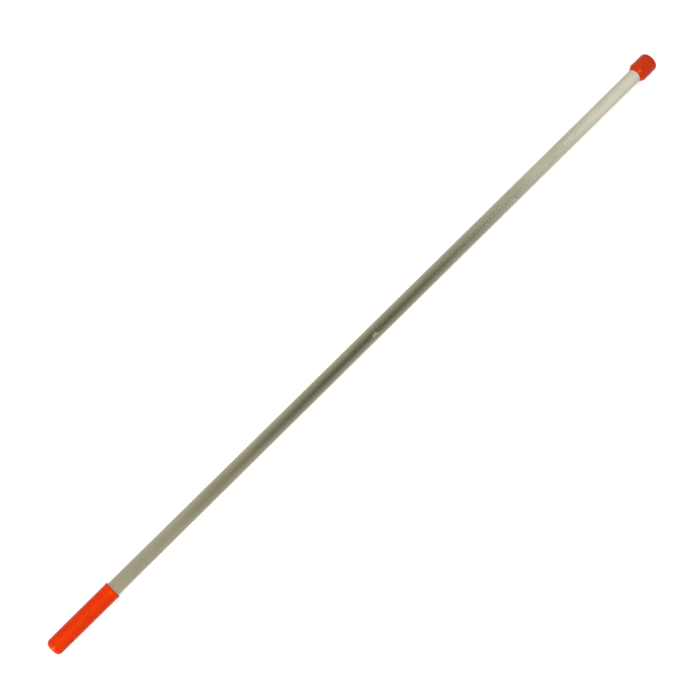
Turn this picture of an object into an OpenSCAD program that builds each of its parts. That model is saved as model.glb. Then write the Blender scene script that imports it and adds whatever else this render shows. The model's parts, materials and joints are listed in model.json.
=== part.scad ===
// Fixed roller extension pole: a bare tube, a closed hand grip at the butt and a push-in socket at the head.
// The pole lies along X with the head at +X. The origin is on the pole's axis, where the socket's bore begins.

/* [Pole] */
// Overall length, from the grip's closed end to the nose of the head
pole_length = 1219; // [600:1:2400]
// Outside diameter of the tube
tube_d = 21.3; // [17:0.1:30]
// Wall of the tube
tube_wall = 1; // [0.6:0.1:1.5]
// Chamfer on the tube's cut edges
tube_deburr = 0.3; // [0.1:0.05:0.4]

/* [Hand grip] */
// Length of the grip
grip_length = 112; // [60:1:200]
// Wall of the grip around the tube
grip_wall = 2; // [1.5:0.1:5]
// Thickness of the grip's closed end
grip_end = 7; // [5:0.5:12]
// Rounding of the grip's closed end
grip_round = 7; // [3:0.5:10]
// Width of the bead at the grip's open end
bead_width = 8; // [4:0.5:15]
// Height of that bead above the grip
bead_height = 0.4; // [0.2:0.05:1]

/* [Butt plug] */
// Depth of the plug inside the tube
plug_depth = 22; // [16:1:40]
// Thickness of the plug's flange over the tube's cut edge
plug_flange = 2.5; // [1.5:0.1:5]
// Wall of the plug
plug_wall = 2; // [1:0.1:3]
// Number of barb rings on the plug
plug_barbs = 4; // [1:1:5]
// Height of each barb ring
barb_height = 0.25; // [0.1:0.05:0.4]

/* [Head sleeve] */
// Length of the head, from the tube side of its shoulder to its nose
head_length = 34.5; // [28:0.5:60]
// Wall of the sleeve
sleeve_wall = 2.1; // [1.6:0.1:3]
// Length of the cone shoulder on the tube side
shoulder_length = 6.5; // [4:0.5:9]
// Thickness of the shoulder's edge where it meets the tube
shoulder_lip = 0.6; // [0.4:0.1:1.2]
// Rounding of the head's nose
nose_round = 5.5; // [3.2:0.1:6]
// How much wider the sleeve's mouth is than the socket, in diameter
mouth_relief = 1; // [0.6:0.1:1.4]
// Lead-in chamfer on the sleeve's mouth
mouth_chamfer = 0.5; // [0.3:0.1:0.6]

/* [Socket core] */
// Wall of the core outside the tube, which sets the head's diameter
core_wall = 2.1; // [1.5:0.1:5]
// Wall of the liner inside the tube, which sets the socket's bore
liner_wall = 1.35; // [1:0.05:3]
// Depth of the socket
socket_depth = 60; // [40:1:120]
// Thickness of the core's flange between the tube's end and the mouth
core_flange = 3; // [2:0.1:5]
// Radius of the half-round snap ring inside the sleeve, which clips into a groove in the core
snap_r = 0.5; // [0.3:0.05:0.8]

/* [Pins] */
// Diameter of the retaining pins
pin_d = 3; // [2:0.1:4]
// Number of retaining pins
pin_count = 2; // [2:1:4]

/* [Fits] */
// Radial clearance between pieces that push together
push_fit = 0.05; // [0.03:0.01:0.1]
// Radial clearance between the sleeve and what it slides over
slip_fit = 0.1; // [0.06:0.01:0.15]

/* [Hidden] */
$fn = 96;
overlap = 1;

tube_r = tube_d / 2;
bore_r = tube_r - tube_wall;
grip_r = tube_r + grip_wall;
liner_r = bore_r - push_fit;
socket_r = liner_r - liner_wall;
core_r = tube_r + push_fit + core_wall;
cavity_r = core_r + slip_fit;
head_r = cavity_r + sleeve_wall;

// Places along the pole, from the butt at the low end to the nose at the high end
nose_x = sleeve_wall;
butt_x = nose_x - pole_length;
tube_front_x = -core_flange;
tube_back_x = butt_x + grip_end + plug_flange;
grip_front_x = butt_x + grip_length;
head_back_x = nose_x - head_length;
core_back_x = head_back_x + shoulder_length + slip_fit;

// The pins and the snap groove share the stretch of core that surrounds the tube
core_grip_length = tube_front_x - core_back_x;
pin_x = tube_front_x - core_grip_length * 0.4;
snap_x = core_back_x + core_grip_length * 0.2;

// Turns a profile of [radius, place along the pole] about the X axis
module turned() {
  rotate([0, 90, 0]) rotate_extrude() children();
}

// A step of a turned profile, from radius r0 to r1 and from place x0 to x1
module step(r0, r1, x0, x1) {
  translate([r0, x0]) square([r1 - r0, x1 - x0]);
}

// Half outline of a solid bar whose low end is rounded at its rim
module round_ended_bar(r, rounding, x0, x1) {
  step(0, r - rounding, x0, x1);
  step(0, r, x0 + rounding, x1);
  translate([r - rounding, x0 + rounding]) circle(r = rounding);
}

// A corner cut of 45 degrees at radius r and place x, opening towards the side given by dir
module corner_cut(r, x, size, dir) {
  polygon([[r - size, x], [r + overlap, x], [r + overlap, x - dir * (size + overlap)], [r, x - dir * size]]);
}

// Cylinders that stand out from the axis around the pole, for the pins and their holes
module radial_bars(r, r_in, r_out) {
  for (i = [0 : pin_count - 1])
    translate([pin_x, 0, 0])
      rotate([90 + i * 360 / pin_count, 0, 0])
        translate([0, 0, r_in]) cylinder(h = r_out - r_in, r = r);
}

// Plain round tube, deburred at both ends, with holes for the retaining pins
module pole_tube() {
  color("silver") difference() {
    turned() difference() {
      step(bore_r, tube_r, tube_back_x, tube_front_x);
      corner_cut(tube_r, tube_front_x, tube_deburr, 1);
      corner_cut(tube_r, tube_back_x, tube_deburr, -1);
    }
    radial_bars(pin_d / 2 + push_fit, bore_r - overlap, tube_r + overlap);
  }
}

// Closed sleeve with a bead at its open end
module hand_grip() {
  color("orangered") turned() difference() {
    union() {
      intersection() {
        round_ended_bar(grip_r, grip_round, butt_x, grip_front_x);
        step(0, grip_r, butt_x, grip_front_x);
      }
      step(0, grip_r + bead_height, grip_front_x - bead_width + bead_height, grip_front_x - bead_height);
      for (x = [grip_front_x - bead_width + bead_height, grip_front_x - bead_height])
        translate([grip_r, x]) circle(r = bead_height);
    }
    step(0, tube_r + push_fit, butt_x + grip_end, grip_front_x + overlap);
  }
}

// Hollow plug with barb rings, whose flange covers the tube's cut edge
module butt_plug() {
  plug_r = bore_r - push_fit - barb_height;
  barb_pitch = (plug_depth - plug_flange) / plug_barbs;
  barb_length = barb_pitch / 2;
  color("ivory") turned() difference() {
    union() {
      step(0, tube_r, tube_back_x - plug_flange, tube_back_x);
      step(0, plug_r, tube_back_x - overlap, tube_back_x + plug_depth);
      for (i = [0 : plug_barbs - 1])
        translate([plug_r, tube_back_x + plug_flange / 2 + i * barb_pitch])
          polygon([[-overlap, 0], [barb_height, 0], [0, barb_length], [-overlap, barb_length]]);
    }
    step(0, plug_r - plug_wall, tube_back_x, tube_back_x + plug_depth + overlap);
  }
}

// Outer sleeve of the head: cone shoulder on the tube side, rounded nose around the mouth, snap ring inside
module socket_sleeve() {
  mouth_r = socket_r + mouth_relief / 2;
  color("orangered") turned() difference() {
    intersection() {
      mirror([0, 1]) round_ended_bar(head_r, nose_round, -nose_x, -head_back_x);
      polygon([
        [0, head_back_x], [tube_r + slip_fit + shoulder_lip, head_back_x],
        [head_r, head_back_x + shoulder_length], [head_r, nose_x], [0, nose_x]
      ]);
    }
    step(0, tube_r + slip_fit, head_back_x - overlap, core_back_x);
    difference() {
      mirror([0, 1]) round_ended_bar(cavity_r, nose_round - sleeve_wall, 0, slip_fit - core_back_x);
      translate([cavity_r, snap_x]) circle(r = snap_r);
    }
    step(0, mouth_r, -overlap, nose_x + overlap);
    corner_cut_inside(mouth_r, nose_x, mouth_chamfer);
  }
}

// Lead-in cut of 45 degrees at the mouth of a hole of radius r that opens at place x
module corner_cut_inside(r, x, size) {
  polygon([[r - overlap, x - size - overlap], [r + size + overlap, x + overlap], [0, x + overlap], [0, x - size]]);
}

// Inner moulding of the head: a ring slot for the tube's end and a long liner for the roller frame's handle
module socket_core() {
  color("dimgray") difference() {
    turned() difference() {
      union() {
        intersection() {
          mirror([0, 1]) round_ended_bar(core_r, nose_round - sleeve_wall, 0, -core_back_x);
          step(0, core_r, core_back_x, 0);
        }
        step(socket_r, liner_r, -socket_depth, 0);
      }
      step(liner_r, tube_r + push_fit, core_back_x - overlap, tube_front_x);
      step(0, socket_r, -socket_depth - overlap, overlap);
      translate([cavity_r, snap_x]) circle(r = snap_r + 2 * slip_fit);
    }
    radial_bars(pin_d / 2 + push_fit, tube_r - overlap / 2, core_r + overlap);
  }
}

// Retaining pins through the core and the tube's wall, flush under the sleeve
module socket_pins() {
  color("gray") radial_bars(pin_d / 2, bore_r + push_fit, core_r - push_fit);
}

pole_tube();
hand_grip();
butt_plug();
socket_sleeve();
socket_core();
socket_pins();
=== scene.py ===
import json
import math

import bpy
import numpy as np
from mathutils import Euler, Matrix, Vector


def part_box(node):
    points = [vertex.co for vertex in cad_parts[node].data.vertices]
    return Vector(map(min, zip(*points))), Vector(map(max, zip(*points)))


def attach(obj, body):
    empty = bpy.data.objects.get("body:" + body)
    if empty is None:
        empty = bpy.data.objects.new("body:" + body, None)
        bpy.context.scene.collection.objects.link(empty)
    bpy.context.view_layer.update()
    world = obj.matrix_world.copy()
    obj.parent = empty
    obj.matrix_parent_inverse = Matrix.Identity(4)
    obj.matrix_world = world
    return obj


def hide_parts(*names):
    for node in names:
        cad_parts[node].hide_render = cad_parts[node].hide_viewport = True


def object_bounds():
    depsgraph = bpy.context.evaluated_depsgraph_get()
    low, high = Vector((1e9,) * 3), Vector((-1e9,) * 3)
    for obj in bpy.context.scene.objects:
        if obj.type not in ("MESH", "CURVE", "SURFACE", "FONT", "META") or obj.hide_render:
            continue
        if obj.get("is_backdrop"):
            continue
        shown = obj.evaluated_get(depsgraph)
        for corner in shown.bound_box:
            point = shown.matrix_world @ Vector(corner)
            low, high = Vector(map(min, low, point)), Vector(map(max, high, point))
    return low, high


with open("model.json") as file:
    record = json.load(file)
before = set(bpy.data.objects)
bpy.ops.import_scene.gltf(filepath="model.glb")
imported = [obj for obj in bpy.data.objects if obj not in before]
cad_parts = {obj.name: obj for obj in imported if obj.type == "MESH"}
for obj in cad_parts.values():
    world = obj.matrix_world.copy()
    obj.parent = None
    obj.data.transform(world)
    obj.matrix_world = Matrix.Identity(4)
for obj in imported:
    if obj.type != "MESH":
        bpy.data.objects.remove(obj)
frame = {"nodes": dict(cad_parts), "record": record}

bl_info = {
    "name": "Roller extension pole",
    "version": (1, 0, 0),
    "blender": (4, 5, 0),
    "location": "View3D > Sidebar > Pole",
    "description": "Dresses a push-fit roller pole: drawn tube, moulded grip and head, and their stage",
    "category": "Object",
}

BODY = "root"
MM = 0.001
# Points closer together than this, in metres, are one point
SAME_PLACE = 1e-7
# An edge that turns by more than this is drawn as a crease
CREASE = math.radians(32)
SOCKET = next(m for m in frame["record"]["mounts"] if m["name"] == "handle_socket")


def linear(hex_colour):
    """A colour written as sRGB hex, turned to the linear values that Blender's shaders use."""
    srgb = np.array([int(hex_colour[i:i + 2], 16) for i in (1, 3, 5)]) / 255
    low = srgb / 12.92
    high = ((srgb + 0.055) / 1.055) ** 2.4
    return tuple(float(c) for c in np.where(srgb <= 0.04045, low, high))


def length(name, description, default_mm):
    """A size that a user may change, in metres, with its default given in millimetres."""
    return bpy.props.FloatProperty(
        name=name, description=description, default=default_mm * MM, unit="LENGTH", precision=5
    )


def share(name, description, default):
    """A plain number from 0 to 1 that a user may change."""
    return bpy.props.FloatProperty(name=name, description=description, default=default, min=0, max=1)


def angle(name, description, default_degrees):
    """An angle that a user may change, with its default given in degrees."""
    return bpy.props.FloatProperty(
        name=name, description=description, default=math.radians(default_degrees), subtype="ANGLE"
    )


def colour(name, description, hex_colour):
    """A colour that a user may change, with its default given as sRGB hex."""
    return bpy.props.FloatVectorProperty(
        name=name, description=description, default=linear(hex_colour), subtype="COLOR", min=0, max=1
    )


class PoleTubeSettings(bpy.types.PropertyGroup):
    wall: length("Wall", "Wall of the tube", 1)
    deburr: length("Deburr", "Chamfer on the tube's cut edges", 0.3)
    draw_wave: length("Draw wave", "How far the skin wanders inside its nominal radius", 0.01)
    mid_dent_place: share("Middle dent place", "First dent, as a share of the tube from the butt", 0.507)
    mid_dent_turn: angle("Middle dent turn", "Turn of the first dent from the top towards -Y", 31)
    mid_dent_depth: length("Middle dent depth", "Depth of the first dent at its edge", 0.72)
    head_dent_place: share("Head dent place", "Second dent, as a share of the tube from the butt", 0.749)
    head_dent_turn: angle("Head dent turn", "Turn of the second dent from the top towards -Y", 48)
    head_dent_depth: length("Head dent depth", "Depth of the second dent at its edge", 0.14)
    dent_slant: angle("Dent slant", "Angle between a dent's sharp edge and the tube's length", 47)
    dent_slope: length("Dent slope", "Length of a dent's gentle side", 9)
    dent_step: length("Dent step", "Length of a dent's sharp side", 0.3)
    dent_reach: length("Dent reach", "Half width of a dent round the tube", 3.4)
    metal: colour("Metal", "Zinc plate over drawn steel", "#C0BBA3")
    dull: colour("Dull metal", "The same plate where it has gone dull", "#B5B098")
    grime: colour("Grime", "Thin dry dirt in the scratches", "#4A4436")


class PoleGripSettings(bpy.types.PropertyGroup):
    rounding: length("Rounding", "Rounding of the closed end", 7)
    bead_width: length("Bead width", "Width of the bead at the open end", 8)
    bead_height: length("Bead height", "Height of the bead above the grip", 0.4)
    bead_rise: length("Bead rise", "Length over which the skin rises to the bead", 5.5)
    lip_round: length("Lip rounding", "Rounding of the open end's edges", 1)
    clearance: length("Clearance", "Gap between the tube and the grip's bore", 0.05)
    shrink: length("Shrink", "How far the skin sinks where the moulding shrank", 0.07)
    vinyl: colour("Vinyl", "Orange-red moulded vinyl", "#C82700")
    worn: colour("Worn vinyl", "The same vinyl where hands have rubbed it", "#AA1E00")
    gleam: colour("Gleam", "Tint of the highlight on the pigmented skin", "#FFC060")


class PoleHeadSettings(bpy.types.PropertyGroup):
    wall: length("Wall", "Wall of the sleeve", 2.1)
    shoulder_length: length("Shoulder length", "Length of the cone shoulder on the tube side", 6.5)
    shoulder_lip: length("Shoulder lip", "Thickness of the shoulder's edge at the tube", 0.6)
    shoulder_blend: length("Shoulder blend", "Rounding between the cone and the straight side", 4)
    nose_round: length("Nose rounding", "Rounding of the nose", 5.5)
    mouth_relief: length("Mouth relief", "How much the mouth's radius exceeds the socket's", 0.5)
    mouth_chamfer: length("Mouth chamfer", "Lead-in chamfer on the mouth", 0.5)
    clearance: length("Clearance", "Gap between the sleeve and what it slides over", 0.1)
    shrink: length("Shrink", "How far the skin sinks where the moulding shrank", 0.04)
    polymer: colour("Polypropylene", "Orange-red moulded polypropylene", "#B02300")
    scuffed: colour("Scuffed polypropylene", "The same plastic where it is scuffed", "#8D1A02")
    gleam: colour("Gleam", "Tint of the highlight on the pigmented skin", "#FFB480")


class PoleHiddenSettings(bpy.types.PropertyGroup):
    polyethylene: colour("Polyethylene", "Natural polyethylene of the butt plug", "#DAD5C6")
    nylon: colour("Nylon", "Black nylon of the socket core", "#1B1B1D")
    wire: colour("Steel wire", "Cut steel wire of the pins", "#B9B9BA")


class PoleStageSettings(bpy.types.PropertyGroup):
    azimuth: angle("Azimuth", "Turn of the camera about +Z", -45.56)
    elevation: angle("Elevation", "Height of the camera over the floor", 74.86)
    distance: length("Distance", "From the camera to the point it looks at", 1850.4)
    aim_back: length("Aim back", "How far the aim lies behind the pole's middle", 32.7)
    aim_aside: length("Aim aside", "How far the aim lies beside the pole's axis", 6.2)
    lens: bpy.props.FloatProperty(
        name="Lens", description="Focal length", default=66.86, unit="CAMERA"
    )
    floor: colour("Floor", "Opal acrylic of the floor", "#F2F2F0")
    floor_cloud: colour("Floor cloud", "The same acrylic where its tone clouds over", "#E7E7E7")
    floor_radius: length("Floor radius", "Radius of the round floor", 9000)
    room_near: colour("Room", "Tint of the room over the pole and towards its butt", "#FFFEF6")
    room_far: colour("Far room", "Tint of the room past the pole's head", "#F7F8FF")


# ---------------------------------------------------------------- surfaces


def arc(x, r, radius, start, end, count):
    """Points of a circular arc about the place (x, r), at angles a in degrees from start to end:
    x + radius cos a, r + radius sin a."""
    a = np.radians(np.linspace(start, end, count))
    return np.column_stack([x + radius * np.cos(a), r + radius * np.sin(a)])


def outline(*stretches):
    """Joins points and arcs, given as (place along the pole, radius), and drops doubled points."""
    points = np.vstack([np.atleast_2d(s) for s in stretches])
    steps = np.linalg.norm(np.diff(points, axis=0), axis=1)
    return points[np.concatenate([[True], steps > SAME_PLACE])]


def densify(points, gap):
    """Adds evenly spaced points on every stretch of the outline that is longer than gap."""
    rows = [points[:1]]
    for a, b in zip(points[:-1], points[1:]):
        count = max(1, math.ceil(np.linalg.norm(b - a) / gap))
        rows.append(a + (b - a) * (np.arange(1, count + 1) / count)[:, None])
    return np.vstack(rows)


def turn(points, sides):
    """A profile carried round the X axis: at place x, radius r and angle q from +Z towards -Y,
    the surface is (x, -r sin q, r cos q). Gives the places, radii and angles on one grid."""
    q = np.arange(sides) * 2 * np.pi / sides
    x = np.repeat(points[:, :1], sides, axis=1)
    r = np.repeat(points[:, 1:], sides, axis=1)
    return x, r, np.broadcast_to(q, x.shape)


def lathe_faces(rings, sides, closed):
    """Quads between neighbouring rings, and a last band back to the first ring on a closed profile.
    The outline runs from the butt to the nose on the outside, so the faces point outwards."""
    here = np.arange(rings if closed else rings - 1)
    ahead = (here + 1) % rings
    side = np.arange(sides)
    after = (side + 1) % sides
    quads = np.stack([
        here[:, None] * sides + side,
        here[:, None] * sides + after,
        ahead[:, None] * sides + after,
        ahead[:, None] * sides + side,
    ], axis=-1)
    return quads.reshape(-1, 4)


def make_piece(name, x, r, q, closed, material, stands_for):
    """Builds one turned piece from its grid. On an open profile both ends lie on the axis,
    so each end ring is one vertex with a fan of triangles round it."""
    rings, sides = x.shape
    points = np.stack([x, -r * np.sin(q), r * np.cos(q)], axis=-1)
    if closed:
        vertices = points.reshape(-1, 3)
        faces = lathe_faces(rings, sides, True).tolist()
    else:
        between = points[1:-1].reshape(-1, 3)
        vertices = np.vstack([between, points[0, :1], points[-1, :1]])
        start_pole = len(between)
        end_pole = start_pole + 1
        side = np.arange(sides)
        after = (side + 1) % sides
        full_rings = rings - 2
        last_ring = (full_rings - 1) * sides
        start_fan = np.column_stack([np.full(sides, start_pole), after, side])
        end_fan = np.column_stack([np.full(sides, end_pole), last_ring + side, last_ring + after])
        faces = lathe_faces(full_rings, sides, False).tolist()
        faces += start_fan.tolist() + end_fan.tolist()
    mesh = bpy.data.meshes.new(name)
    mesh.from_pydata(vertices, [], faces)
    mesh.shade_smooth()
    mesh.set_sharp_from_angle(angle=CREASE)
    mesh.materials.append(material)
    piece = bpy.data.objects.new(name, mesh)
    bpy.context.scene.collection.objects.link(piece)
    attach(piece, BODY)
    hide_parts(stands_for)
    return piece


def wander(x, q, pitch, seed):
    """A smooth irregular field on a turned surface, from 0 to 1: the mean of sine waves that run along
    the pole and round it, 0.5 to 1.5 waves to a pitch. Each makes a whole number of turns, so the
    field joins up with itself."""
    waves, most_turns = 8, 4
    rng = np.random.default_rng(seed)
    field = np.zeros(x.shape)
    for wave in range(waves):
        phase = rng.uniform(0, 2 * np.pi)
        along = rng.uniform(0.5, 1.5) / pitch
        field += np.sin(2 * np.pi * along * x + (wave % most_turns) * q + phase)
    return (1 + field / waves) / 2


# ---------------------------------------------------------------- materials

# Sockets of a Mix node that mixes colours
SHARE, FIRST, SECOND, MIXED = 0, 6, 7, 2
# The same for one that mixes plain values
FIRST_VALUE, SECOND_VALUE, MIXED_VALUE = 2, 3, 0


def add(tree, kind, sockets=None, **settings):
    """Adds a node: settings are its own attributes, sockets are values or links for its inputs."""
    node = tree.nodes.new(kind)
    for name, value in settings.items():
        setattr(node, name, value)
    for name, value in (sockets or {}).items():
        if isinstance(value, bpy.types.NodeSocket):
            tree.links.new(value, node.inputs[name])
        else:
            node.inputs[name].default_value = value
    return node


def new_material(name):
    """An empty node material, its tree, and the Object coordinates that its patterns read."""
    material = bpy.data.materials.new(name)
    material.use_nodes = True
    tree = material.node_tree
    tree.nodes.clear()
    place = add(tree, "ShaderNodeTexCoord").outputs["Object"]
    return material, tree, place


def finish_material(tree, sockets):
    """Ends a material: its shader with these sockets, and the output that takes it."""
    shader = add(tree, "ShaderNodeBsdfPrincipled", sockets)
    add(tree, "ShaderNodeOutputMaterial", {"Surface": shader.outputs[0]})


def blotches(tree, place, size_mm, low, high, stretch=(1, 1, 1), turned_by=(0, 0, 0), detail=3.0):
    """A noise pattern whose blotches are about size_mm. Gives the noise itself, and its part:
    0 where the noise is under low, 1 where it is over high, and smooth between them."""
    space = add(tree, "ShaderNodeMapping", {
        "Vector": place, "Rotation": turned_by, "Scale": stretch,
    })
    noise = add(tree, "ShaderNodeTexNoise", {
        "Vector": space.outputs[0], "Scale": 1 / (size_mm * MM), "Detail": detail,
        "Roughness": 0.6,
    })
    part = add(tree, "ShaderNodeMapRange", {
        "Value": noise.outputs[0], "From Min": low, "From Max": high,
    }, interpolation_type="SMOOTHSTEP")
    return noise.outputs[0], part.outputs[0]


def drawn_zinc_steel(look):
    """Drawn steel tube, bright zinc plated.
    The die leaves fine lines along the tube, so highlights spread round it more than along it, and
    the thin plate dulls in cloudy patches with handling. The eye gets a satin, faintly warm grey."""
    material, tree, place = new_material("drawn_zinc_steel")
    # The real draw lines are about 0.1 mm apart, drawn 0.6 mm apart so that they show
    lines, line_part = blotches(
        tree, place, size_mm=0.6, low=0.3, high=0.7, stretch=(0.015, 1, 1)
    )
    clouds, dull_part = blotches(
        tree, place, size_mm=24, low=0.3, high=0.75, stretch=(0.3, 1, 1)
    )
    # Real scuffs and specks are 0.1 to 0.5 mm wide, drawn about 1.5 mm so that they show
    _, scuff_part = blotches(
        tree, place, size_mm=1.6, low=0.68, high=0.78, stretch=(0.14, 1, 1), turned_by=(0.5, 0, 0.7)
    )
    _, speck_part = blotches(tree, place, size_mm=1.3, low=0.68, high=0.76, detail=2.0)
    plate = add(tree, "ShaderNodeMix", {
        SHARE: dull_part, FIRST: (*look.metal, 1), SECOND: (*look.dull, 1),
    }, data_type="RGBA")
    line_share = add(tree, "ShaderNodeMapRange", {"Value": line_part, "To Max": 0.1})
    lined = add(tree, "ShaderNodeMix", {
        SHARE: line_share.outputs[0], FIRST: plate.outputs[MIXED], SECOND: (*look.grime, 1),
    }, data_type="RGBA")
    speck_share = add(tree, "ShaderNodeMapRange", {"Value": speck_part, "To Max": 0.5})
    dirty = add(tree, "ShaderNodeMix", {
        SHARE: speck_share.outputs[0], FIRST: lined.outputs[MIXED], SECOND: (*look.grime, 1),
    }, data_type="RGBA")
    cloudy = add(tree, "ShaderNodeMapRange", {"Value": clouds, "To Min": 0.21, "To Max": 0.26})
    # Scuffs are a little rougher than the plate round them
    rough = add(tree, "ShaderNodeMath", {
        0: scuff_part, 1: 0.05, 2: cloudy.outputs[0],
    }, operation="MULTIPLY_ADD")
    grooved = add(tree, "ShaderNodeBump", {
        "Height": lines, "Strength": 0.3, "Distance": 0.0025 * MM,
    })
    scratched = add(tree, "ShaderNodeBump", {
        "Height": scuff_part, "Strength": 0.3, "Distance": 0.002 * MM, "Normal": grooved.outputs[0],
    }, invert=True)
    round_the_tube = add(tree, "ShaderNodeTangent", direction_type="RADIAL", axis="X")
    finish_material(tree, {
        "Base Color": dirty.outputs[MIXED], "Metallic": 1.0, "Roughness": rough.outputs[0],
        "Anisotropic": 0.35, "Tangent": round_the_tube.outputs[0],
        "Normal": scratched.outputs[0],
    })
    return material


def moulded_plastic(name, fresh, worn, gloss, ior, skin_mm, gleam=(1, 1, 1)):
    """Injection moulded plastic with a soft gloss: the mould's spark-worn skin gives it a fine
    pebble, and handling rubs broad patches smoother or duller. The eye gets one strong colour with
    a broken highlight. Gleam is the highlight's tint, warm where surface pigment colours it."""
    material, tree, place = new_material(name)
    # The mould's skin is finer than 0.1 mm, drawn coarser so that it shows
    skin, _ = blotches(tree, place, size_mm=skin_mm, low=0.3, high=0.7, detail=2.0)
    rubs, rub_part = blotches(
        tree, place, size_mm=14, low=0.4, high=0.68, stretch=(0.6, 1, 1), detail=4.0
    )
    # Real scuffs are about 0.3 mm wide, drawn 1.4 mm so that they show
    _, scuff_part = blotches(
        tree, place, size_mm=1.4, low=0.64, high=0.72, stretch=(0.16, 1, 1), turned_by=(0.7, 0.2, 0.9)
    )
    worn_share = add(tree, "ShaderNodeMapRange", {"Value": rub_part, "To Max": 0.45})
    mixed = add(tree, "ShaderNodeMix", {
        SHARE: worn_share.outputs[0], FIRST: (*fresh, 1), SECOND: (*worn, 1),
    }, data_type="RGBA")
    rubbed = add(tree, "ShaderNodeMapRange", {
        "Value": rubs, "To Min": gloss - 0.06, "To Max": gloss + 0.08,
    })
    rough = add(tree, "ShaderNodeMath", {
        0: scuff_part, 1: 0.12, 2: rubbed.outputs[0],
    }, operation="MULTIPLY_ADD")
    pebble = add(tree, "ShaderNodeBump", {
        "Height": skin, "Strength": 0.25, "Distance": 0.05 * MM,
    })
    finish_material(tree, {
        "Base Color": mixed.outputs[MIXED], "Roughness": rough.outputs[0], "IOR": ior,
        "Specular IOR Level": 0.36, "Specular Tint": (*gleam, 1), "Normal": pebble.outputs[0],
    })
    return material


def cut_steel_wire(wire):
    """Plain steel wire, cut to length. The die leaves fine lines along it, so the eye gets a grey
    metal, streaked from satin to dull."""
    material, tree, place = new_material("cut_steel_wire")
    # Real draw lines are finer than 0.1 mm, drawn 0.5 mm apart so that they show
    lines, line_part = blotches(
        tree, place, size_mm=0.5, low=0.35, high=0.65, stretch=(1, 1, 0.05)
    )
    rough = add(tree, "ShaderNodeMapRange", {"Value": line_part, "To Min": 0.28, "To Max": 0.45})
    grooves = add(tree, "ShaderNodeBump", {
        "Height": lines, "Strength": 0.3, "Distance": 0.02 * MM,
    })
    finish_material(tree, {
        "Base Color": (*wire, 1), "Metallic": 1.0, "Roughness": rough.outputs[0],
        "Normal": grooves.outputs[0],
    })
    return material


def opal_acrylic(look):
    """Cast opal acrylic of a light table: matt, with a very faint cloud in its tone, and lit a
    little from behind, which thins out the shadows on it."""
    material, tree, place = new_material("back_lit_opal_acrylic")
    _, cloud_part = blotches(tree, place, size_mm=600, low=0.3, high=0.7, detail=2.0)
    cloud_share = add(tree, "ShaderNodeMapRange", {"Value": cloud_part, "To Max": 0.02})
    tone = add(tree, "ShaderNodeMix", {
        SHARE: cloud_share.outputs[0], FIRST: (*look.floor, 1), SECOND: (*look.floor_cloud, 1),
    }, data_type="RGBA")
    finish_material(tree, {
        "Base Color": tone.outputs[MIXED], "Roughness": 0.9, "Specular IOR Level": 0.1,
        "Emission Color": (*look.floor, 1), "Emission Strength": 0.2,
    })
    return material


# ---------------------------------------------------------------- pieces


class PolePiece(bpy.types.Operator):
    """Shared options of the operators that make this object's pieces and stage"""
    bl_options = {"REGISTER", "UNDO"}


class MakePoleTube(PolePiece):
    """Makes the drawn steel tube with its two shallow dents"""
    bl_idname = "pole.make_tube"
    bl_label = "Tube"

    def execute(self, context):
        look = context.scene.pole_tube
        low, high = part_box("pole_tube")
        outer = high.z
        inner = outer - look.wall
        cut = look.deburr
        span = high.x - low.x
        dents = [
            (low.x + span * look.mid_dent_place, look.mid_dent_turn, look.mid_dent_depth),
            (low.x + span * look.head_dent_place, look.head_dent_turn, look.head_dent_depth),
        ]
        # Rings are even along the tube, and crowd together at the dents' sharp edges
        even_rings = np.linspace(low.x + cut, high.x - cut, num=180)
        step = np.linspace(-1, 1, num=80)
        even_share, crowded_share = 0.15, 0.85
        reach = 2 * look.dent_slope
        crowd = reach * (even_share * step + crowded_share * step ** 3)
        rings = np.unique(np.concatenate([even_rings] + [at + crowd for at, _, _ in dents]))
        skin = np.column_stack([rings, np.full(len(rings), outer)])
        bore = densify(np.array([[high.x, inner], [low.x, inner]]), gap=40 * MM)
        profile = outline(
            [low.x, inner], [low.x, outer - cut], skin, [high.x, outer - cut], bore
        )[:-1]
        x, r, q = turn(profile, sides=240)
        on_skin = r > outer - SAME_PLACE
        r = np.where(on_skin, r - self.sink(look, x, q, outer, dents), r)
        make_piece("tube", x, r, q, True, drawn_zinc_steel(look), "pole_tube")
        return {"FINISHED"}

    @staticmethod
    def sink(look, x, q, outer, dents):
        """How far the skin lies inside its nominal radius: a faint wander from drawing, plus the dents.
        A dent is a ramp that goes down towards the head and ends at a slanted edge. Its depth is the
        share of the ramp passed, times a bell round the tube, times a smooth step down to 0 just past
        the edge."""
        # How far the ramp may run on past the edge, and how steep the step is and where it is cut off
        ramp_end, steepness, cut_off = 1.4, 3, 9
        depth = look.draw_wave * wander(x, q, pitch=0.09, seed=4)
        cosine, sine = math.cos(look.dent_slant), math.sin(look.dent_slant)
        for at, turned, deepest in dents:
            across = (np.mod(q - turned + np.pi, 2 * np.pi) - np.pi) * outer
            ramp = np.clip(1 + (x - at) / look.dent_slope, 0, ramp_end)
            bell = np.exp(-(across / look.dent_reach) ** 2)
            past = ((x - at) * sine - across * cosine) / look.dent_step
            edge = 1 / (1 + np.exp(steepness * np.clip(past, -cut_off, cut_off)))
            depth = depth + deepest * ramp * bell * edge
        return depth


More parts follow.
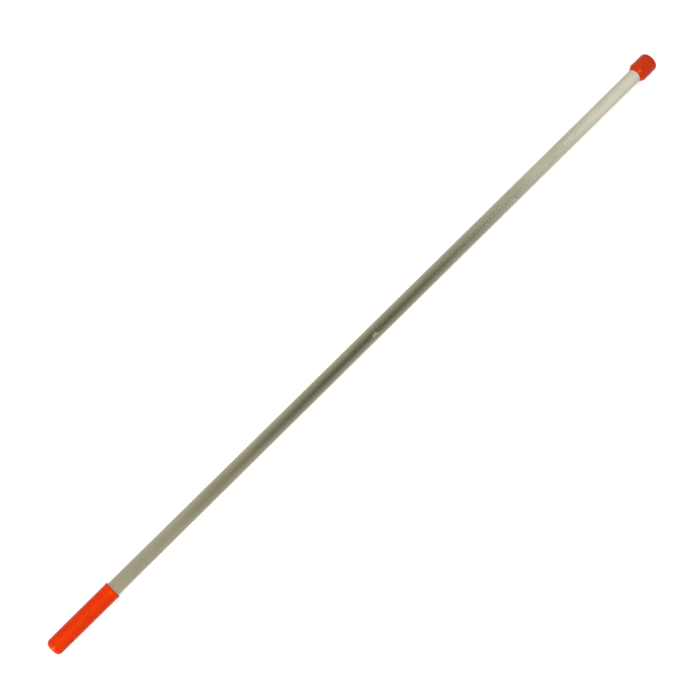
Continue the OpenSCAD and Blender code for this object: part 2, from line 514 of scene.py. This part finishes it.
class MakePoleGrip(PolePiece):
    """Makes the closed hand grip with its bead"""
    bl_idname = "pole.make_grip"
    bl_label = "Hand grip"

    def execute(self, context):
        look = context.scene.pole_grip
        low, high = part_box("hand_grip")
        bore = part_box("pole_tube")[1].z + look.clearance
        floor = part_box("butt_plug")[0].x
        bead_top = high.z
        skin = bead_top - look.bead_height
        lip, big = look.lip_round, look.rounding
        # The skin climbs to the bead along half a cosine wave
        climb = np.linspace(0, 1, num=12)
        bead_x = high.x - look.bead_width + look.bead_rise * climb
        bead_r = skin + look.bead_height * (1 - np.cos(np.pi * climb)) / 2
        outside = outline(
            [low.x, 0],
            arc(low.x + big, skin - big, big, 180, 90, count=24),
            np.column_stack([bead_x, bead_r]),
            arc(high.x - lip, bead_top - lip, lip, 90, 0, count=8),
            arc(high.x - lip, bore + lip, lip, 0, -90, count=8),
        )
        inside = outline([high.x - lip, bore], [floor, bore], [floor, 0])
        profile = outline(densify(outside, gap=1.5 * MM), densify(inside, gap=6 * MM))
        x, r, q = turn(profile, sides=128)
        # The bore and the front of the bead keep their size
        behind_bead = x < high.x - look.bead_width / 2
        on_skin = np.clip((r - bore) / (skin - bore), 0, 1) * behind_bead
        r = r - look.shrink * on_skin * wander(x, q, pitch=0.05, seed=11)
        vinyl = moulded_plastic(
            "moulded_vinyl", look.vinyl, look.worn, gloss=0.22, ior=1.53, skin_mm=0.5, gleam=look.gleam
        )
        make_piece("grip", x, r, q, False, vinyl, "hand_grip")
        return {"FINISHED"}


class MakePoleHead(PolePiece):
    """Makes the head's outer sleeve: cone shoulder, rounded nose and mouth"""
    bl_idname = "pole.make_head"
    bl_label = "Head sleeve"

    def execute(self, context):
        look = context.scene.pole_head
        low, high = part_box("socket_sleeve")
        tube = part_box("pole_tube")[1].z
        neck = tube + look.clearance
        side = high.z
        cavity = side - look.wall
        mouth = SOCKET["dims"]["r_mm"] * MM + look.mouth_relief
        nose, chamfer = look.nose_round, look.mouth_chamfer
        cone_end = low.x + look.shoulder_length
        slope = math.atan2(side - neck - look.shoulder_lip, look.shoulder_length)
        # The blend's circle touches the cone and the straight side
        blend = look.shoulder_blend
        blend_x = cone_end + blend * math.tan(slope / 2)
        slope_degrees = math.degrees(slope)
        cavity_end = low.x + look.shoulder_length + look.clearance
        inner_round = nose - look.wall
        seat = SOCKET["pos_m"][0]
        outside = outline(
            [low.x, neck], [low.x, neck + look.shoulder_lip],
            arc(blend_x, side - blend, blend, 90 + slope_degrees, 90, count=8),
            arc(high.x - nose, side - nose, nose, 90, 0, count=24),
            [high.x, mouth + chamfer], [high.x - chamfer, mouth],
        )
        inside = outline(
            [high.x - chamfer, mouth], [seat, mouth],
            arc(seat - inner_round, cavity - inner_round, inner_round, 0, 90, count=12),
            [cavity_end, cavity], [cavity_end, neck],
        )
        profile = outline(
            densify(outside, gap=0.6 * MM), densify(inside, gap=1.5 * MM), [low.x, neck]
        )[:-1]
        x, r, q = turn(profile, sides=144)
        # The cavity and the mouth keep their size
        on_skin = np.clip((r - cavity) / look.wall, 0, 1)
        r = r - look.shrink * on_skin * wander(x, q, pitch=0.03, seed=23)
        polymer = moulded_plastic(
            "moulded_polypropylene", look.polymer, look.scuffed,
            gloss=0.27, ior=1.49, skin_mm=0.45, gleam=look.gleam,
        )
        make_piece("head_sleeve", x, r, q, True, polymer, "socket_sleeve")
        return {"FINISHED"}


class FinishHiddenPieces(PolePiece):
    """Gives the butt plug, the socket core and the pins their materials"""
    bl_idname = "pole.finish_hidden"
    bl_label = "Plug, core and pins"

    def execute(self, context):
        look = context.scene.pole_hidden
        chosen = {
            "butt_plug": moulded_plastic(
                "natural_polyethylene", look.polyethylene, look.polyethylene,
                gloss=0.42, ior=1.51, skin_mm=0.5,
            ),
            "socket_core": moulded_plastic(
                "black_nylon", look.nylon, look.nylon, gloss=0.4, ior=1.53, skin_mm=0.4
            ),
            "socket_pins": cut_steel_wire(look.wire),
        }
        for node, material in chosen.items():
            materials = frame["nodes"][node].data.materials
            materials.clear()
            materials.append(material)
        return {"FINISHED"}


# ---------------------------------------------------------------- stage


def lay_floor(look, low):
    """A flat disc under the pole: at distance d and turn q it is (d cos q, d sin q, lowest point)."""
    rings, sides = 8, 64
    d = look.floor_radius * np.linspace(0, 1, rings + 1)[1:, None]
    q = np.linspace(0, 2 * np.pi, sides + 1)[:-1]
    grid = np.stack(np.broadcast_arrays(d * np.cos(q), d * np.sin(q), low.z), axis=-1)
    vertices = np.vstack([grid.reshape(-1, 3), [[0, 0, low.z]]])
    centre = rings * sides
    side = np.arange(sides)
    hub = np.column_stack([np.full(sides, centre), side, (side + 1) % sides])
    bands = lathe_faces(rings, sides, False)[:, ::-1]
    mesh = bpy.data.meshes.new("floor")
    mesh.from_pydata(vertices, [], bands.tolist() + hub.tolist())
    mesh.materials.append(opal_acrylic(look))
    floor = bpy.data.objects.new("floor", mesh)
    bpy.context.scene.collection.objects.link(floor)
    # The floor lights nothing back, so the pole's flanks stay darker than its top
    floor.visible_diffuse = False
    floor.visible_glossy = False
    floor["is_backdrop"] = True


def hang_light(name, place, target, width, height, power, mirrored=True):
    """A rectangular soft box at a place, aimed at a target."""
    light = bpy.data.lights.new(name, "AREA")
    light.shape = "RECTANGLE"
    light.size = width
    light.size_y = height
    light.energy = power
    lamp = bpy.data.objects.new(name, light)
    lamp.location = place
    lamp.rotation_euler = (Vector(target) - Vector(place)).to_track_quat("-Z", "Y").to_euler()
    lamp.visible_camera = False
    lamp.visible_glossy = mirrored
    bpy.context.scene.collection.objects.link(lamp)


def light_room(look):
    """A pale room with a dark ceiling over the pole, pale sides and a bright wall past its head.
    Brightness depends on direction only: on its x along the pole, and on its tilt, which is the
    angle from straight up, taken across the pole towards -Y."""
    world = bpy.data.worlds.new("pale_room")
    world.use_nodes = True
    tree = world.node_tree
    tree.nodes.clear()
    direction = add(tree, "ShaderNodeTexCoord").outputs["Generated"]
    axes = add(tree, "ShaderNodeSeparateXYZ", {0: direction}).outputs
    along = axes[0]
    tilt = add(tree, "ShaderNodeMath", {0: axes[1], 1: axes[2]}, operation="ARCTAN2")
    # The dark middle of the ceiling lies this far off straight up
    ceiling_tilt = math.radians(20)
    from_middle = add(tree, "ShaderNodeMath", {0: tilt.outputs[0], 1: ceiling_tilt}, operation="ADD")
    off_middle = add(
        tree, "ShaderNodeMath", {0: from_middle.outputs[0]}, operation="ABSOLUTE"
    ).outputs[0]
    # Brightness of the ceiling's middle and of the sides, of the wall past the head in its middle
    # and at its ends, and of the room beyond that wall
    ceiling, sides = 0.05, 0.82
    wall_middle, wall_ends, beyond = 1.95, 1.2, 0.55
    # What each change reads, where it starts and ends, its level before and after, and its kind
    changes = {
        "ceiling_to_sides": (off_middle, math.radians(6), math.radians(125), ceiling, sides, "LINEAR"),
        "wall": (off_middle, math.radians(20), math.radians(110), wall_middle, wall_ends, "LINEAR"),
        "towards_butt": (along, -0.08, 0.16, 1.0, 0.0, "SMOOTHSTEP"),
        "past_head": (along, 0.355, 0.372, 0.0, 1.0, "SMOOTHSTEP"),
        "past_wall": (along, 0.4, 0.66, 0.0, 1.0, "SMOOTHSTEP"),
    }
    level = {
        name: add(tree, "ShaderNodeMapRange", {
            "Value": value, "From Min": start, "From Max": end, "To Min": before, "To Max": after,
        }, interpolation_type=kind).outputs[0]
        for name, (value, start, end, before, after, kind) in changes.items()
    }
    near = add(tree, "ShaderNodeMix", {
        SHARE: level["towards_butt"], FIRST_VALUE: level["ceiling_to_sides"], SECOND_VALUE: sides,
    }, data_type="FLOAT")
    far = add(tree, "ShaderNodeMix", {
        SHARE: level["past_wall"], FIRST_VALUE: level["wall"], SECOND_VALUE: beyond,
    }, data_type="FLOAT")
    strength = add(tree, "ShaderNodeMix", {
        SHARE: level["past_head"], FIRST_VALUE: near.outputs[MIXED_VALUE],
        SECOND_VALUE: far.outputs[MIXED_VALUE],
    }, data_type="FLOAT")
    tint = add(tree, "ShaderNodeMix", {
        SHARE: level["past_head"], FIRST: (*look.room_near, 1), SECOND: (*look.room_far, 1),
    }, data_type="RGBA")
    back = add(tree, "ShaderNodeBackground", {
        "Color": tint.outputs[MIXED], "Strength": strength.outputs[MIXED_VALUE],
    })
    add(tree, "ShaderNodeOutputWorld", {"Surface": back.outputs[0]})
    bpy.context.scene.world = world


def place_camera(look, aim):
    """A camera at a distance from its aim, turned by azimuth about +Z and raised by elevation."""
    back = Vector((
        math.sin(look.azimuth) * math.cos(look.elevation),
        -math.cos(look.azimuth) * math.cos(look.elevation),
        math.sin(look.elevation),
    ))
    data = bpy.data.cameras.new("camera")
    data.lens = look.lens
    camera = bpy.data.objects.new("camera", data)
    camera.location = aim + back * look.distance
    camera.rotation_euler = Euler((math.pi / 2 - look.elevation, 0, look.azimuth))
    bpy.context.scene.collection.objects.link(camera)
    bpy.context.scene.camera = camera


class SetPoleStage(PolePiece):
    """Lays the floor, hangs the lights and places the camera"""
    bl_idname = "pole.set_stage"
    bl_label = "Floor, lights and camera"

    def execute(self, context):
        look = context.scene.pole_stage
        low, high = (Vector(corner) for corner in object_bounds())
        middle = (low + high) / 2
        butt = Vector((low.x, 0, low.z))
        nose = Vector((high.x, 0, high.z))
        lay_floor(look, low)
        light_room(look)
        # A wide cloth for even light, which stays out of the tube's reflection
        hang_light(
            "overhead_cloth", middle + Vector((0, 0, 2.6)), middle,
            width=3.2, height=3.2, power=38, mirrored=False,
        )
        # A small far lamp for the glint on the head's shoulder, and a low one for the grip's closed end
        hang_light(
            "small_lamp", nose + Vector((-4.07, -1.58, 6.7)), nose,
            width=0.7, height=0.7, power=120,
        )
        hang_light(
            "low_window", butt + Vector((-3.4, -0.3, 1.5)), butt,
            width=1.0, height=0.5, power=100,
        )
        place_camera(look, Vector((middle.x - look.aim_back, middle.y + look.aim_aside, 0)))
        context.scene.view_settings.view_transform = "Standard"
        return {"FINISHED"}


# ---------------------------------------------------------------- add-on


OPERATORS = (MakePoleTube, MakePoleGrip, MakePoleHead, FinishHiddenPieces, SetPoleStage)
SETTINGS = {
    "pole_tube": PoleTubeSettings,
    "pole_grip": PoleGripSettings,
    "pole_head": PoleHeadSettings,
    "pole_hidden": PoleHiddenSettings,
    "pole_stage": PoleStageSettings,
}


class PolePanel(bpy.types.Panel):
    """Lists the pole's pieces with their sizes and colours"""
    bl_idname = "VIEW3D_PT_roller_pole"
    bl_label = "Roller extension pole"
    bl_space_type = "VIEW_3D"
    bl_region_type = "UI"
    bl_category = "Pole"

    def draw(self, context):
        for operator, (name, group) in zip(OPERATORS, SETTINGS.items()):
            box = self.layout.box()
            box.operator(operator.bl_idname)
            for setting in group.__annotations__:
                box.prop(getattr(context.scene, name), setting)


def register():
    for group in (*SETTINGS.values(), *OPERATORS, PolePanel):
        bpy.utils.register_class(group)
    for name, group in SETTINGS.items():
        setattr(bpy.types.Scene, name, bpy.props.PointerProperty(type=group))


def unregister():
    for name in SETTINGS:
        delattr(bpy.types.Scene, name)
    for group in (PolePanel, *reversed(OPERATORS), *reversed(SETTINGS.values())):
        bpy.utils.unregister_class(group)


def main():
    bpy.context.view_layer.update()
    register()
    bpy.ops.pole.make_tube()
    bpy.ops.pole.make_grip()
    bpy.ops.pole.make_head()
    bpy.ops.pole.finish_hidden()
    bpy.ops.pole.set_stage()


if __name__ == "__main__":
    main()
